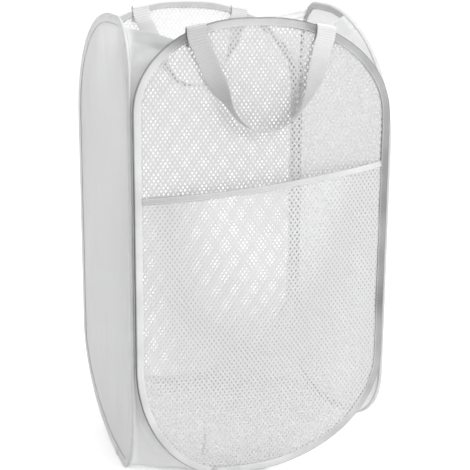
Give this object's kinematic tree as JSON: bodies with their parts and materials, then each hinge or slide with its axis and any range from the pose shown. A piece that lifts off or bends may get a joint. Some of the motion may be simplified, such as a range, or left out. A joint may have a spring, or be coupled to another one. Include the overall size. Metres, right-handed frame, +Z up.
{
  "type": "pop up laundry hamper",
  "caption": "Square folding laundry hamper of spring wire hoops with net front and back, nylon sides, a front net pocket and webbing carry handles.",
  "frame": {"origin": "middle of the base of the bounding box, on the floor", "axes": "+Z up, the front wall with the pocket faces -Y, +X to the right seen from the front"},
  "size_m": [0.356, 0.3818, 0.61],
  "materials": {
    "spring_wire": "bright drawn spring steel",
    "crimped_sleeve": "satin, crimped",
    "grey_binding_tape": "satin woven polyester tape, sewn",
    "white_net": "knitted polyester net with upright holes",
    "grey_nylon": "light grey plain woven nylon, creased",
    "ribbed_webbing": "matt ribbed polypropylene webbing"
  },
  "bodies": {
    "front": {"front_wire_hoop": "spring_wire", "front_wire_ferrule": "crimped_sleeve", "front_edge_tape": "grey_binding_tape", "front_net": "white_net", "front_pocket_net": "white_net", "front_pocket_hem": "grey_binding_tape", "front_handle_left_end": "ribbed_webbing", "front_handle_right_end": "ribbed_webbing", "floor_panel": "grey_nylon", "front_left_upper_gusset": "grey_nylon", "front_left_lower_gusset": "grey_nylon", "front_left_corner_seam": "grey_nylon", "front_right_upper_gusset": "grey_nylon", "front_right_lower_gusset": "grey_nylon", "front_right_corner_seam": "grey_nylon"},
    "left": {"left_wire_hoop": "spring_wire", "left_wire_ferrule": "crimped_sleeve", "left_edge_tape": "grey_binding_tape", "left_panel": "grey_nylon", "back_left_upper_gusset": "grey_nylon", "back_left_lower_gusset": "grey_nylon", "back_left_corner_seam": "grey_nylon"},
    "right": {"right_wire_hoop": "spring_wire", "right_wire_ferrule": "crimped_sleeve", "right_edge_tape": "grey_binding_tape", "right_panel": "grey_nylon", "back_right_upper_gusset": "grey_nylon", "back_right_lower_gusset": "grey_nylon"},
    "back": {"back_wire_hoop": "spring_wire", "back_wire_ferrule": "crimped_sleeve", "back_edge_tape": "grey_binding_tape", "back_net": "white_net", "back_handle_left_end": "ribbed_webbing", "back_handle_right_end": "ribbed_webbing"},
    "back_right_seam": {"back_right_corner_seam": "grey_nylon"},
    "front_handle": {"front_handle_loop": "ribbed_webbing"},
    "back_handle": {"back_handle_loop": "ribbed_webbing"}
  },
  "joints": [
    {"name": "fold", "type": "hinge", "parent": "front", "child": "left", "pos_m": [-0.17235, -0.16145, 0.3], "axis": [0, 0, 1], "range_deg": [-80, 80], "stiffness_Nm_per_rad": 0.3, "deforming": ["front_left_upper_gusset", "front_left_lower_gusset", "front_left_corner_seam", "floor_panel"]},
    {"name": "right_corner_fold", "type": "hinge", "parent": "front", "child": "right", "pos_m": [0.17235, -0.16145, 0.3], "axis": [0, 0, 1], "range_deg": [-80, 80], "deforming": ["front_right_upper_gusset", "front_right_lower_gusset", "front_right_corner_seam"]},
    {"name": "back_corner_fold", "type": "hinge", "parent": "left", "child": "back", "pos_m": [-0.17235, 0.18325, 0.3], "axis": [0, 0, 1], "range_deg": [-80, 80], "deforming": ["back_left_upper_gusset", "back_left_lower_gusset", "back_left_corner_seam"]},
    {"name": "open_corner_fold", "type": "hinge", "parent": "right", "child": "back_right_seam", "pos_m": [0.17235, 0.18325, 0.3], "axis": [0, 0, 1], "range_deg": [-80, 80], "deforming": ["back_right_upper_gusset", "back_right_lower_gusset", "back_right_corner_seam"]},
    {"name": "front_handle_swing", "type": "hinge", "parent": "front", "child": "front_handle", "pos_m": [-0.006, -0.17036, 0.58389], "axis": [-1, 0, 0], "range_deg": [0, 180]},
    {"name": "back_handle_swing", "type": "hinge", "parent": "back", "child": "back_handle", "pos_m": [-0.003, 0.18012, 0.58679], "axis": [-1, 0, 0], "range_deg": [0, 180]}
  ],
  "couplings": [
    {"joint": "right_corner_fold", "follows": "fold", "ratio": 1},
    {"joint": "back_corner_fold", "follows": "fold", "ratio": -1},
    {"joint": "open_corner_fold", "follows": "fold", "ratio": -1}
  ]
}
